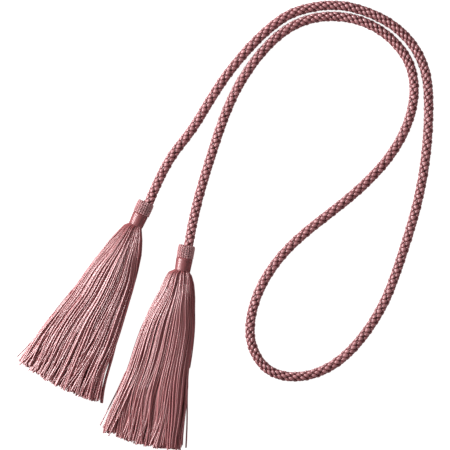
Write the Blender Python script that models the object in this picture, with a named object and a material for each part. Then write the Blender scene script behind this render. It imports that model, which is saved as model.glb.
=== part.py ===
"""Curtain tieback: one braided cord laid in a folded loop, with a thread tassel on each of its ends.

Metres, +Z up, lying on the plane z = 0. The origin is on that plane, under the middle of the box
round the two tassels. Each tassel is a knitted cap, a satin-bound neck and a skirt of cut threads.
A tassel is modelled in its own frame, +Y up its head and -Y down its skirt, with the neck's foot at
y = 0, and is then turned and moved to its place.
"""

import math
from collections import namedtuple

import bmesh
import bpy
import numpy as np

# Driving dimensions
SEAM_GAP = 0.0003
CORD_DIAMETER = 0.0070
BRAID_RELIEF = 0.0004
BRAID_ROWS = 4
BRAID_LEAD = 0.0336
CORD_SIDES = 2 * BRAID_ROWS
CORD_RING_STEP = BRAID_LEAD / CORD_SIDES
CORD_RISE_LENGTH = 0.024

HEAD_AXIS_HEIGHT = 0.00615
CAP_RADIUS = 0.00665
CAP_HEIGHT = 0.0111
CAP_TOP_RADIUS = 0.0044
CAP_SHOULDER = 0.0022
CAP_STITCH_COLUMNS = 20
CAP_STITCH_ROWS = 6
CAP_STITCH_RELIEF = 0.00024

NECK_LENGTH = 0.0092
NECK_BORE_RADIUS = 0.0049
NECK_TAPER = 0.0002
NECK_EDGE = 0.0004
NECK_SIDES = 24

SKIRT_LENGTH = 0.1346
SKIRT_CUT_CROWN = 0.0036
SKIRT_CUT_SLANT = 0.0020
SKIRT_CUT_UNEVEN = 0.0012
SKIRT_ROOT_DOWN = 0.009
SKIRT_FLAT_BY = 0.045
SKIRT_EDGE_THICKNESS = 0.38
SKIRT_RING_SIDES = 24
LOCK_ROWS = 4
LOCK_COLUMNS = 24
LOCK_FILL_AT_ROOT = 0.84
LOCK_FILL_AT_TIP = 0.72
LOCK_STATIONS_DOWN = (0.020, 0.042, 0.075, 0.106)
LOCK_WAVE = 0.0008
LOCK_WAVE_LENGTH = 0.062

# Middle, half width and height of a skirt's section, at distances down from the neck's foot
Section = namedtuple("Section", "down middle half_width height")
SLIM_SKIRT = (
    Section(0.0030, -0.0006, 0.0079, 0.0126),
    Section(0.0090, -0.0002, 0.0108, 0.0136),
    Section(0.0180, -0.0002, 0.0138, 0.0140),
    Section(0.0330, -0.0004, 0.0174, 0.0138),
    Section(0.0480, -0.0007, 0.0203, 0.0132),
    Section(0.0640, -0.0013, 0.0230, 0.0126),
    Section(0.0790, -0.0020, 0.0256, 0.0120),
    Section(0.0940, -0.0026, 0.0280, 0.0114),
    Section(0.1090, -0.0033, 0.0308, 0.0107),
    Section(0.1330, -0.0042, 0.0352, 0.0096),
)
FULL_SKIRT = (
    Section(0.0030, -0.0012, 0.0098, 0.0130),
    Section(0.0090, -0.0010, 0.0120, 0.0140),
    Section(0.0180, -0.0012, 0.0145, 0.0144),
    Section(0.0330, -0.0022, 0.0180, 0.0142),
    Section(0.0480, -0.0030, 0.0207, 0.0136),
    Section(0.0640, -0.0039, 0.0228, 0.0130),
    Section(0.0790, -0.0048, 0.0246, 0.0124),
    Section(0.0940, -0.0056, 0.0270, 0.0117),
    Section(0.1090, -0.0065, 0.0300, 0.0110),
    Section(0.1330, -0.0072, 0.0330, 0.0100),
)

# Each tassel's place: its neck's foot, its turn about +Z, and how far the cord enters beside the
# cap's middle
Tassel = namedtuple("Tassel", "side foot_x foot_y turn_deg neck_radius cord_beside skirt seed")
TASSELS = (
    Tassel("left", 0.0210, 0.0749, -24.6, 0.0058, 0.0020, SLIM_SKIRT, 3),
    Tassel("right", 0.0566, 0.0407, -10.1, 0.0062, 0.0012, FULL_SKIRT, 8),
)

# Route of the cord's middle line between the two caps, seen from above
CORD_ROUTE = (
    (0.0505, 0.1305), (0.0620, 0.1455), (0.0790, 0.1725), (0.1190, 0.2215), (0.1385, 0.2355),
    (0.1570, 0.2410), (0.1765, 0.2420), (0.1970, 0.2370), (0.2170, 0.2265), (0.2325, 0.2105),
    (0.2410, 0.1915), (0.2435, 0.1670), (0.2420, 0.1345), (0.2360, 0.0970), (0.2225, 0.0505),
    (0.2100, 0.0175), (0.1935, -0.0090), (0.1710, -0.0305), (0.1450, -0.0395), (0.1230, -0.0350),
    (0.1095, -0.0160), (0.1090, 0.0070), (0.1185, 0.0330), (0.1335, 0.0540), (0.1805, 0.0940),
    (0.2235, 0.1435), (0.2320, 0.1710), (0.2295, 0.1960), (0.2135, 0.2180), (0.1955, 0.2290),
    (0.1765, 0.2335), (0.1570, 0.2325), (0.1385, 0.2255), (0.1195, 0.2095), (0.0960, 0.1750),
    (0.0785, 0.1285), (0.0660, 0.0845),
)

# Finishes: linear colour, roughness and sheen of each kind of piece
Finish = namedtuple("Finish", "name color roughness sheen")
CORD_YARN = Finish("cord_yarn", (0.34, 0.13, 0.15, 1.0), 0.45, 0.3)
CAP_KNIT = Finish("cap_knit", (0.40, 0.18, 0.19, 1.0), 0.5, 0.3)
NECK_SATIN = Finish("neck_satin", (0.36, 0.12, 0.14, 1.0), 0.3, 0.1)
SKIRT_THREADS = Finish("skirt_threads", (0.38, 0.15, 0.17, 1.0), 0.45, 0.3)

HEAD_TOP = NECK_LENGTH + SEAM_GAP + CAP_HEIGHT
CORD_REST_HEIGHT = CORD_DIAMETER / 2


def clear_scene():
    """Remove every object that the file opened with."""
    for obj in list(bpy.data.objects):
        bpy.data.objects.remove(obj, do_unlink=True)


def smooth_step(value):
    """Ease from 0 to 1 as value goes from 0 to 1, flat at both ends."""
    value = min(max(value, 0.0), 1.0)
    return value * value * (3 - 2 * value)


def material_of(finish):
    """A material with the finish's colour, roughness and sheen."""
    material = bpy.data.materials.get(finish.name)
    if material is None:
        material = bpy.data.materials.new(finish.name)
        material.use_nodes = True
        shader = material.node_tree.nodes["Principled BSDF"]
        shader.inputs["Base Color"].default_value = finish.color
        shader.inputs["Roughness"].default_value = finish.roughness
        shader.inputs["Metallic"].default_value = 0.0
        shader.inputs["Sheen Weight"].default_value = finish.sheen
        material.diffuse_color = finish.color
    return material


def object_from(bm, name, finish, tassel=None):
    """A named object from a mesh in progress, at its tassel's place or in world coordinates."""
    bmesh.ops.recalc_face_normals(bm, faces=bm.faces)
    mesh = bpy.data.meshes.new(name)
    bm.to_mesh(mesh)
    bm.free()
    mesh.materials.append(material_of(finish))
    obj = bpy.data.objects.new(name, mesh)
    bpy.context.scene.collection.objects.link(obj)
    if tassel is not None:
        obj.location = (tassel.foot_x, tassel.foot_y, 0.0)
        obj.rotation_euler = (0.0, 0.0, math.radians(tassel.turn_deg))
    return obj


def bridge(bm, lower, upper):
    """Quads between two rings of as many vertices."""
    count = len(lower)
    for i in range(count):
        j = (i + 1) % count
        bm.faces.new((lower[i], lower[j], upper[j], upper[i]))


def loft(bm, rings, closed_start=True, closed_end=True):
    """A skin over rings of points, with flat ends where asked; returns the rings' vertices."""
    made = [[bm.verts.new(point) for point in ring] for ring in rings]
    for lower, upper in zip(made, made[1:]):
        bridge(bm, lower, upper)
    if closed_start:
        bm.faces.new(made[0])
    if closed_end:
        bm.faces.new(made[-1])
    return made


def natural_spline(points, step):
    """Points about a step apart on the smooth curve through the given points."""
    knots = np.array(points, dtype=float)
    chords = np.linalg.norm(np.diff(knots, axis=0), axis=1)
    at = np.concatenate(([0.0], np.cumsum(chords)))
    last = len(knots) - 1
    system = np.eye(last + 1)
    right = np.zeros_like(knots)
    for i in range(1, last):
        system[i, i - 1 : i + 2] = chords[i - 1], 2 * (chords[i - 1] + chords[i]), chords[i]
        right[i] = 6 * ((knots[i + 1] - knots[i]) / chords[i] - (knots[i] - knots[i - 1]) / chords[i - 1])
    bends = np.linalg.solve(system, right)
    count = round(at[-1] / step)
    curve = []
    for where in np.linspace(0.0, at[-1], count + 1):
        i = int(min(np.searchsorted(at, where, side="right") - 1, last - 1))
        before = where - at[i]
        after = at[i + 1] - where
        span = chords[i]
        curve.append(
            bends[i] * after**3 / (6 * span)
            + bends[i + 1] * before**3 / (6 * span)
            + (knots[i] / span - bends[i] * span / 6) * after
            + (knots[i + 1] / span - bends[i + 1] * span / 6) * before
        )
    return np.array(curve)


def cord_end(tassel):
    """The point where the cord meets its tassel's cap, seen from above."""
    turn = math.radians(tassel.turn_deg)
    up = HEAD_TOP + SEAM_GAP
    return (
        tassel.foot_x + tassel.cord_beside * math.cos(turn) - up * math.sin(turn),
        tassel.foot_y + tassel.cord_beside * math.sin(turn) + up * math.cos(turn),
    )


def cord_middle_line():
    """The cord's middle line: level on the surface, and up to a cap's middle at each end."""
    route = (cord_end(TASSELS[0]), *CORD_ROUTE, cord_end(TASSELS[1]))
    flat = natural_spline(route, CORD_RING_STEP)
    steps = np.linalg.norm(np.diff(flat, axis=0), axis=1)
    along = np.concatenate(([0.0], np.cumsum(steps)))
    from_end = np.minimum(along, along[-1] - along)
    lift = [1.0 - smooth_step(distance / CORD_RISE_LENGTH) for distance in from_end]
    height = CORD_REST_HEIGHT + (HEAD_AXIS_HEIGHT - CORD_REST_HEIGHT) * np.array(lift)
    return np.column_stack((flat, height)), along


def end_direction(tassel):
    """The way a cord leaves its tassel's cap, along the head."""
    turn = math.radians(tassel.turn_deg)
    return np.array((-math.sin(turn), math.cos(turn), 0.0))


def make_cord():
    """The braided cord, with its rows of stitches raised as ridges that wind round it."""
    line, along = cord_middle_line()
    forward = np.gradient(line, axis=0)
    forward[0] = end_direction(TASSELS[0])
    forward[-1] = -end_direction(TASSELS[1])
    forward /= np.linalg.norm(forward, axis=1)[:, None]
    sideways = np.cross(forward, (0.0, 0.0, 1.0))
    sideways /= np.linalg.norm(sideways, axis=1)[:, None]
    upward = np.cross(sideways, forward)
    rings = []
    for centre, side, up, distance in zip(line, sideways, upward, along):
        turned = 2 * math.pi * distance / BRAID_LEAD
        ring = []
        for k in range(CORD_SIDES):
            angle = turned + 2 * math.pi * k / CORD_SIDES
            radius = CORD_DIAMETER / 2 - BRAID_RELIEF * (k % 2)
            ring.append(centre + radius * (math.cos(angle) * side + math.sin(angle) * up))
        rings.append(ring)
    bm = bmesh.new()
    loft(bm, rings)
    return object_from(bm, "cord", CORD_YARN)


def round_ring(up, radius, sides, relief=0.0, row=0):
    """A ring round the head's axis, flattened where it rests on the surface."""
    ring = []
    for k in range(sides):
        angle = -math.pi / 2 + 2 * math.pi * k / sides
        reach = radius + relief * (-1) ** (k + row)
        height = max(0.0, HEAD_AXIS_HEIGHT + reach * math.sin(angle))
        ring.append((reach * math.cos(angle), up, height))
    return ring


def make_cap(tassel):
    """The knitted cap over the head, with its stitches raised in a diamond pattern."""
    foot = NECK_LENGTH + SEAM_GAP
    hem = 0.0004
    rings = [round_ring(foot, CAP_RADIUS - hem, CAP_STITCH_COLUMNS)]
    side_height = CAP_HEIGHT - CAP_SHOULDER - hem
    for row in range(CAP_STITCH_ROWS):
        up = foot + hem + side_height * row / (CAP_STITCH_ROWS - 1)
        rings.append(round_ring(up, CAP_RADIUS, CAP_STITCH_COLUMNS, CAP_STITCH_RELIEF / 2, row))
    shoulder_steps = 3
    for step in range(1, shoulder_steps + 1):
        angle = math.pi / 2 * step / shoulder_steps
        up = HEAD_TOP - CAP_SHOULDER * (1 - math.sin(angle))
        radius = CAP_TOP_RADIUS + (CAP_RADIUS - CAP_TOP_RADIUS) * math.cos(angle)
        rings.append(round_ring(up, radius, CAP_STITCH_COLUMNS))
    bm = bmesh.new()
    loft(bm, rings)
    return object_from(bm, f"cap_{tassel.side}", CAP_KNIT, tassel)


def make_neck(tassel):
    """The satin binding: a sleeve round the root of the threads, a little narrower at its foot."""
    foot_radius = tassel.neck_radius - NECK_TAPER
    top_radius = tassel.neck_radius + NECK_TAPER
    outline = (
        (0.0, NECK_BORE_RADIUS),
        (0.0, foot_radius - NECK_EDGE),
        (NECK_EDGE, foot_radius),
        (NECK_LENGTH / 2, tassel.neck_radius),
        (NECK_LENGTH - NECK_EDGE, top_radius),
        (NECK_LENGTH, top_radius - NECK_EDGE),
        (NECK_LENGTH, NECK_BORE_RADIUS),
    )
    bm = bmesh.new()
    rings = loft(bm, [round_ring(up, radius, NECK_SIDES) for up, radius in outline], False, False)
    bridge(bm, rings[-1], rings[0])
    return object_from(bm, f"neck_{tassel.side}", NECK_SATIN, tassel)


def skirt_size(skirt, down):
    """Middle, half width and height of a skirt's section at a distance down from the neck's foot."""
    places = [section.down for section in skirt]
    middle = np.interp(down, places, [section.middle for section in skirt])
    half_width = np.interp(down, places, [section.half_width for section in skirt])
    height = np.interp(down, places, [section.height for section in skirt])
    return float(middle), float(half_width), float(height)


def skirt_point(tassel, down, across, level):
    """A point of the skirt from its place in the section: across -1 to 1, level 0 to 1.

    The section is an ellipse at the roots, and spreads into a low flat-bottomed heap.
    """
    middle, half_width, height = skirt_size(tassel.skirt, down)
    rise = 2 * level - 1
    round_x = across * math.sqrt(1 - rise * rise / 2)
    round_z = 0.5 + 0.5 * rise * math.sqrt(1 - across * across / 2)
    arch = SKIRT_EDGE_THICKNESS + (1 - SKIRT_EDGE_THICKNESS) * math.sqrt(1 - across * across)
    spread = smooth_step((down - SKIRT_ROOT_DOWN) / (SKIRT_FLAT_BY - SKIRT_ROOT_DOWN))
    x = middle + half_width * (round_x + (across - round_x) * spread)
    z = height * (round_z + (level * arch - round_z) * spread)
    wave = math.sin(2 * math.pi * down / LOCK_WAVE_LENGTH + 2.6 * across + tassel.seed)
    x += LOCK_WAVE * wave * smooth_step(down / SKIRT_LENGTH)
    return (x, -down, z)


def lock_corners(row, column, fill):
    """Corners of a lock in the section: half a diamond on the surface, whole ones above it."""
    width = fill / LOCK_COLUMNS
    tall = fill / LOCK_ROWS
    middle = -1 + (2 * column + 1 + row % 2) / LOCK_COLUMNS
    level = row / LOCK_ROWS
    if row == 0:
        return ((middle - width, 0.0), (middle + width, 0.0), (middle, tall))
    return ((middle - width, level), (middle, level - tall), (middle + width, level), (middle, level + tall))


def lock_rings(tassel, row, column, cut_down):
    """The rings of one lock, from its root to its cut end."""
    root_shrink = 0.93
    rings = []
    for down in (SKIRT_ROOT_DOWN, *LOCK_STATIONS_DOWN, cut_down):
        share = smooth_step((down - SKIRT_ROOT_DOWN) / (SKIRT_LENGTH - SKIRT_ROOT_DOWN))
        fill = LOCK_FILL_AT_ROOT + (LOCK_FILL_AT_TIP - LOCK_FILL_AT_ROOT) * share
        shrink = root_shrink if down == SKIRT_ROOT_DOWN else 1.0
        corners = lock_corners(row, column, fill)
        rings.append(
            [
                skirt_point(tassel, down, across * shrink, 0.5 + (level - 0.5) * shrink)
                for across, level in corners
            ]
        )
    return rings


def bell_rings(tassel):
    """Rings of the threads' fused root: a core up through the neck, then a bell below it."""
    core_radius = NECK_BORE_RADIUS - SEAM_GAP
    rings = [
        round_ring(NECK_LENGTH, core_radius, SKIRT_RING_SIDES),
        round_ring(-SEAM_GAP, core_radius, SKIRT_RING_SIDES),
        round_ring(-SEAM_GAP, tassel.neck_radius - NECK_EDGE, SKIRT_RING_SIDES),
    ]
    first = tassel.skirt[0]
    for down in (first.down / 2, first.down, (first.down + SKIRT_ROOT_DOWN) / 2, SKIRT_ROOT_DOWN):
        middle, half_width, height = skirt_size(tassel.skirt, down)
        share = math.sqrt(min(1.0, down / first.down))
        wide = tassel.neck_radius + (half_width - tassel.neck_radius) * share
        tall = tassel.neck_radius + (height / 2 - tassel.neck_radius) * share
        centre = HEAD_AXIS_HEIGHT + (height / 2 - HEAD_AXIS_HEIGHT) * share
        ring = []
        for k in range(SKIRT_RING_SIDES):
            angle = -math.pi / 2 + 2 * math.pi * k / SKIRT_RING_SIDES
            x = middle * share + wide * math.cos(angle)
            ring.append((x, -down, max(0.0, centre + tall * math.sin(angle))))
        rings.append(ring)
    return rings


def make_skirt(tassel):
    """The skirt: locks of thread that stand apart, fused at their roots into the bell."""
    random = np.random.default_rng(tassel.seed)
    bm = bmesh.new()
    bell = loft(bm, bell_rings(tassel), closed_end=False)
    root_outlines = [bell[-1]]
    for row in range(LOCK_ROWS):
        for column in range(LOCK_COLUMNS - row % 2):
            across = -1 + (2 * column + 1 + row % 2) / LOCK_COLUMNS
            uneven = random.uniform(-SKIRT_CUT_UNEVEN, SKIRT_CUT_UNEVEN)
            cut_down = SKIRT_LENGTH + SKIRT_CUT_SLANT * across - SKIRT_CUT_CROWN * across * across + uneven
            lock = loft(bm, lock_rings(tassel, row, column, cut_down), closed_start=False)
            root_outlines.append(lock[0])
    edges = []
    for outline in root_outlines:
        for here, there in zip(outline, outline[1:] + outline[:1]):
            edges.append(bm.edges.get((here, there)))
    bmesh.ops.triangle_fill(bm, use_beauty=True, edges=edges, normal=(0.0, -1.0, 0.0))
    return object_from(bm, f"skirt_{tassel.side}", SKIRT_THREADS, tassel)


def main():
    """Build the cord and the two tassels."""
    clear_scene()
    make_cord()
    for tassel in TASSELS:
        make_cap(tassel)
        make_neck(tassel)
        make_skirt(tassel)


main()
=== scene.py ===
"""Looks of a double-tassel curtain tieback, built round its solids.

One braided cord lies in a folded loop. Each of its ends carries a tassel: a knitted cap, a neck bound
with satin thread, and a skirt of cut plied threads. Metres, +Z up, lying on the plane z = 0. A tassel is
modelled in its own frame, +Y up its head and -Y down its skirt, and is then moved to its place.
"""

import logging
import math
from collections.abc import Iterator, Sequence
from dataclasses import dataclass, field
from enum import Enum

import bpy
import numpy as np
from mathutils import Matrix, Vector


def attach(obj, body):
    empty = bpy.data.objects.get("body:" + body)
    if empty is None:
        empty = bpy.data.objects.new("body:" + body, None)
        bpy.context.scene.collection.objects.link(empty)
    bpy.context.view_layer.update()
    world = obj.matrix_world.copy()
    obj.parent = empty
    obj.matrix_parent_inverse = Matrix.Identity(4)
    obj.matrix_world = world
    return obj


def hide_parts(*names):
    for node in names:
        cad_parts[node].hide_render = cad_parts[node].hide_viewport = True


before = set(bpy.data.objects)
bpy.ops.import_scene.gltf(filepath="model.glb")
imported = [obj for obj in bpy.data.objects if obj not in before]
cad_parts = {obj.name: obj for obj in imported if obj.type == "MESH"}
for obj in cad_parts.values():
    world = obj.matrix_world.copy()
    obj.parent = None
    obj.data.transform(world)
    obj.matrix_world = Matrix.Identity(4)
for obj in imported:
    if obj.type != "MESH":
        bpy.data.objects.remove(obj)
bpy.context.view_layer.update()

logging.basicConfig(level=logging.INFO, format="%(message)s")
log = logging.getLogger("tieback")

BODY = "root"

# The height of the axis of a tassel's head, and the gap from one piece to the next
HEAD_AXIS_HEIGHT = 0.00615
SEAM_GAP = 0.0003

Socket = bpy.types.NodeSocket
Colour = tuple[float, float, float]
Point = Sequence[float]


def smooth_step(value: float) -> float:
    """Ease from 0 to 1 as value goes from 0 to 1, flat at both ends."""
    value = min(max(value, 0.0), 1.0)
    return value * value * (3 - 2 * value)


def natural_spline(points: Sequence[Point], step: float) -> np.ndarray:
    """Points on the smooth curve through the given ones.

    Args:
        points: The points that the curve passes through.
        step: Roughly the distance between the points returned.

    Returns:
        The curve's points, one a row.
    """
    knots = np.array(points, dtype=float)
    chords = np.linalg.norm(np.diff(knots, axis=0), axis=1)
    at = np.concatenate(([0.0], np.cumsum(chords)))
    last = len(knots) - 1
    system = np.eye(last + 1)
    right = np.zeros_like(knots)
    for i in range(1, last):
        system[i, i - 1 : i + 2] = chords[i - 1], 2 * (chords[i - 1] + chords[i]), chords[i]
        right[i] = 6 * ((knots[i + 1] - knots[i]) / chords[i] - (knots[i] - knots[i - 1]) / chords[i - 1])
    bends = np.linalg.solve(system, right)
    count = round(at[-1] / step)
    curve = []
    for where in np.linspace(0.0, at[-1], count + 1):
        i = int(min(np.searchsorted(at, where, side="right") - 1, last - 1))
        before = where - at[i]
        after = at[i + 1] - where
        span = chords[i]
        curve.append(
            bends[i] * after**3 / (6 * span)
            + bends[i + 1] * before**3 / (6 * span)
            + (knots[i] / span - bends[i] * span / 6) * after
            + (knots[i + 1] / span - bends[i + 1] * span / 6) * before
        )
    return np.array(curve)


def in_scene(name: str, data: bpy.types.ID) -> bpy.types.Object:
    """A new object of the scene."""
    made = bpy.data.objects.new(name, data)
    bpy.context.scene.collection.objects.link(made)
    return made


class NodeBuilder:
    """Adds and links the nodes of one tree."""

    def __init__(self, tree: bpy.types.NodeTree) -> None:
        """Keep the tree that the nodes go into."""
        self.tree = tree

    def add(self, kind: str, feeds: dict | None = None, **settings: object) -> bpy.types.Node:
        """Add one node.

        Args:
            kind: The node's type.
            feeds: What goes into its inputs, by socket index or name: another node's output or a value.
            settings: The node's own properties.

        Returns:
            The new node.
        """
        node = self.tree.nodes.new(kind)
        for name, value in settings.items():
            setattr(node, name, value)
        for key, value in (feeds or {}).items():
            self.feed(node.inputs[key], value)
        return node

    def feed(self, socket: Socket, value: object) -> None:
        """Link an output to an input, or set the input's own value."""
        if isinstance(value, bpy.types.NodeSocket):
            self.tree.links.new(value, socket)
        else:
            socket.default_value = value

    def math(self, operation: str, *values: Socket | float) -> Socket:
        """The result of a Math node on the given values."""
        return self.add("ShaderNodeMath", dict(enumerate(values)), operation=operation).outputs[0]

    def product(self, first: Socket | float, *others: Socket | float) -> Socket:
        """Numbers multiplied in order."""
        result = first
        for other in others:
            result = self.math("MULTIPLY", result, other)
        return result

    def vector(self, operation: str, *values: object) -> Socket:
        """The vector that a Vector Math node gives for the given values."""
        return self.add("ShaderNodeVectorMath", dict(enumerate(values)), operation=operation).outputs[0]

    def scaled(self, vector: Socket, by: Socket | float) -> Socket:
        """A vector times a number."""
        return self.add("ShaderNodeVectorMath", {0: vector, "Scale": by}, operation="SCALE").outputs[0]

    def combined(self, x: Socket | float, y: Socket | float, z: Socket | float) -> Socket:
        """A vector of three numbers."""
        return self.add("ShaderNodeCombineXYZ", {0: x, 1: y, 2: z}).outputs[0]

    def separated(self, vector: Socket) -> tuple[Socket, Socket, Socket]:
        """The three numbers of a vector."""
        outputs = self.add("ShaderNodeSeparateXYZ", {0: vector}).outputs
        return outputs[0], outputs[1], outputs[2]

    def blended(self, share: Socket | float, low: Socket | float, high: Socket | float) -> Socket:
        """A number between low and high, by share."""
        return self.add("ShaderNodeMix", {0: share, 2: low, 3: high}, data_type="FLOAT").outputs[0]


class GeometryRecipe(NodeBuilder):
    """A Geometry Nodes tree with named inputs, run once on a mesh."""

    def __init__(self, name: str) -> None:
        """Make an empty tree with a geometry input and output."""
        super().__init__(bpy.data.node_groups.new(name, "GeometryNodeTree"))
        for way in ("INPUT", "OUTPUT"):
            self.tree.interface.new_socket("Geometry", in_out=way, socket_type="NodeSocketGeometry")
        self.entry = self.tree.nodes.new("NodeGroupInput")
        self.way_out = self.tree.nodes.new("NodeGroupOutput")
        self.settings: dict[str, object] = {}

    @property
    def geometry(self) -> Socket:
        """The geometry that the tree is given."""
        return self.entry.outputs["Geometry"]

    def named(self, name: str, kind: str, value: object) -> Socket:
        """Give the tree a named input.

        Args:
            name: The input's name.
            kind: Its socket type, such as Float or Int.
            value: What the modifier sets it to.

        Returns:
            The input's socket inside the tree.
        """
        item = self.tree.interface.new_socket(name, in_out="INPUT", socket_type=f"NodeSocket{kind}")
        self.settings[item.identifier] = value
        return self.entry.outputs[name]

    def attribute(self, name: str, data_type: str = "FLOAT") -> Socket:
        """A named attribute of the geometry."""
        return self.add("GeometryNodeInputNamedAttribute", {"Name": name}, data_type=data_type).outputs[0]

    def captured(self, geometry: Socket, domain: str, **fields: tuple[str, Socket]) -> tuple[Socket, ...]:
        """Hold the values that fields have at this point of the tree.

        Args:
            geometry: The geometry that the fields are read on.
            domain: The part of it that holds them, such as POINT or CURVE.
            fields: For each value, its data type and its field.

        Returns:
            The geometry, then each held value in order.
        """
        node = self.add("GeometryNodeCaptureAttribute", {"Geometry": geometry}, domain=domain)
        for name, (data_type, value) in fields.items():
            node.capture_items.new(data_type, name)
            self.feed(node.inputs[name], value)
        return node.outputs["Geometry"], *(node.outputs[name] for name in fields)

    def random(self, low: float | Socket, high: float | Socket, seed: Socket, salt: int) -> Socket:
        """A random number for each element, from the tree's seed and a salt of its own."""
        feeds = {2: low, 3: high, 8: self.math("ADD", seed, float(salt))}
        return self.add("FunctionNodeRandomValue", feeds, data_type="FLOAT").outputs[1]

    def disc_point(self, seed: Socket, salt: int) -> Socket:
        """A random point of a disc of radius 1 that lies across Y, for each element."""
        angle = self.random(0.0, 2 * math.pi, seed, salt)
        reach = self.math("SQRT", self.random(0.0, 1.0, seed, salt + 1))
        across = self.product(reach, self.math("COSINE", angle))
        over = self.product(reach, self.math("SINE", angle))
        return self.combined(across, 0.0, over)

    def stored(self, geometry: Socket, name: str, value: object, data_type: str, domain: str) -> Socket:
        """The geometry with a named attribute on it."""
        feeds = {"Geometry": geometry, "Name": name, "Value": value}
        node = self.add("GeometryNodeStoreNamedAttribute", feeds, data_type=data_type, domain=domain)
        return node.outputs[0]

    def moved(self, geometry: Socket, position: Socket) -> Socket:
        """The geometry with its points at new positions."""
        return self.add("GeometryNodeSetPosition", {"Geometry": geometry, "Position": position}).outputs[0]

    def above_surface(self, geometry: Socket, lowest: Socket | float) -> Socket:
        """The geometry with no point lower than a height."""
        x, y, z = self.separated(self.position())
        return self.moved(geometry, self.combined(x, y, self.math("MAXIMUM", z, lowest)))

    def position(self) -> Socket:
        """The position of each element."""
        return self.add("GeometryNodeInputPosition").outputs[0]

    def joined(self, *geometries: Socket) -> Socket:
        """Several geometries as one."""
        node = self.add("GeometryNodeJoinGeometry")
        for geometry in geometries:
            self.tree.links.new(geometry, node.inputs[0])
        return node.outputs[0]

    def facing(self, outward: Socket, along: Socket, turn: Socket) -> Socket:
        """The rotation that points a copy's Z outward and its X along, then turns it about its Z."""
        feeds = {0: outward, 1: along}
        pointed = self.add(
            "FunctionNodeAxesToRotation", feeds, primary_axis="Z", secondary_axis="X"
        ).outputs[0]
        feeds = {"Axis": (0.0, 0.0, 1.0), "Angle": turn}
        own_turn = self.add("FunctionNodeAxisAngleToRotation", feeds).outputs[0]
        feeds = {0: pointed, 1: own_turn}
        return self.add("FunctionNodeRotateRotation", feeds, rotation_space="LOCAL").outputs[0]

    def stitched(
        self,
        points: Socket,
        stitch: Socket,
        rotation: Socket,
        size: Socket,
        tone: Socket,
        chosen: Socket | bool = True,
    ) -> Socket:
        """Set copies of a stitch on points.

        Args:
            points: The points.
            stitch: The object that is copied.
            rotation: Each copy's rotation.
            size: Each copy's scale.
            tone: How light each copy is, kept as its attribute.
            chosen: Which of the points take a copy.

        Returns:
            The copies, as real geometry.
        """
        feeds = {"Object": stitch, "As Instance": True}
        shape = self.add("GeometryNodeObjectInfo", feeds).outputs["Geometry"]
        feeds = {"Points": points, "Selection": chosen, "Instance": shape}
        feeds |= {"Rotation": rotation, "Scale": size}
        stitches = self.add("GeometryNodeInstanceOnPoints", feeds).outputs[0]
        stitches = self.stored(stitches, "tone", tone, "FLOAT", "INSTANCE")
        return self.add("GeometryNodeRealizeInstances", {"Geometry": stitches}).outputs[0]

    def circle(self, sides: int) -> Socket:
        """A circle of radius 1."""
        return self.add("GeometryNodeCurvePrimitiveCircle", {"Resolution": sides, "Radius": 1.0}).outputs[0]

    def tube(self, curve: Socket, profile: Socket, radius: Socket) -> Socket:
        """A closed tube along each curve, its profile scaled by a radius."""
        feeds = {0: curve, 1: profile, 2: radius, 3: True}
        return self.add("GeometryNodeCurveToMesh", feeds).outputs[0]

    def thread(self, curve: Socket, radius: Socket, along: Socket, sides: int) -> Socket:
        """A thread along each curve.

        Args:
            curve: The curves.
            radius: The thread's radius at each point.
            along: How far along the thread each point is.
            sides: Points round the thread.

        Returns:
            The threads, with each point's place round and along its thread as an attribute.
        """
        profile, rim = self.captured(self.circle(sides), "POINT", rim=("VECTOR", self.position()))
        mesh = self.tube(curve, profile, radius)
        rim_x, rim_y, _ = self.separated(rim)
        strand = self.combined(rim_x, rim_y, along)
        return self.stored(mesh, "strand", strand, "FLOAT_VECTOR", "POINT")

    def finish(self, geometry: Socket, material: Socket) -> None:
        """End the tree with smooth shading, realized instances and the material."""
        smooth = self.add("GeometryNodeSetShadeSmooth", {"Geometry": geometry}).outputs[0]
        real = self.add("GeometryNodeRealizeInstances", {"Geometry": smooth}).outputs[0]
        dressed = self.add("GeometryNodeSetMaterial", {"Geometry": real, "Material": material}).outputs[0]
        self.feed(self.way_out.inputs[0], dressed)

    def run(self, source: bpy.types.Mesh) -> bpy.types.Mesh:
        """Run the tree on a mesh.

        Args:
            source: The mesh that the tree starts from.

        Returns:
            A plain mesh of the result.
        """
        carrier = in_scene(self.tree.name, source)
        modifier = carrier.modifiers.new(self.tree.name, "NODES")
        modifier.node_group = self.tree
        for identifier, value in self.settings.items():
            modifier[identifier] = value
        evaluated = carrier.evaluated_get(bpy.context.evaluated_depsgraph_get())
        mesh = bpy.data.meshes.new_from_object(evaluated)
        carrier.modifiers.remove(modifier)
        bpy.data.objects.remove(carrier)
        return mesh


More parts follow.
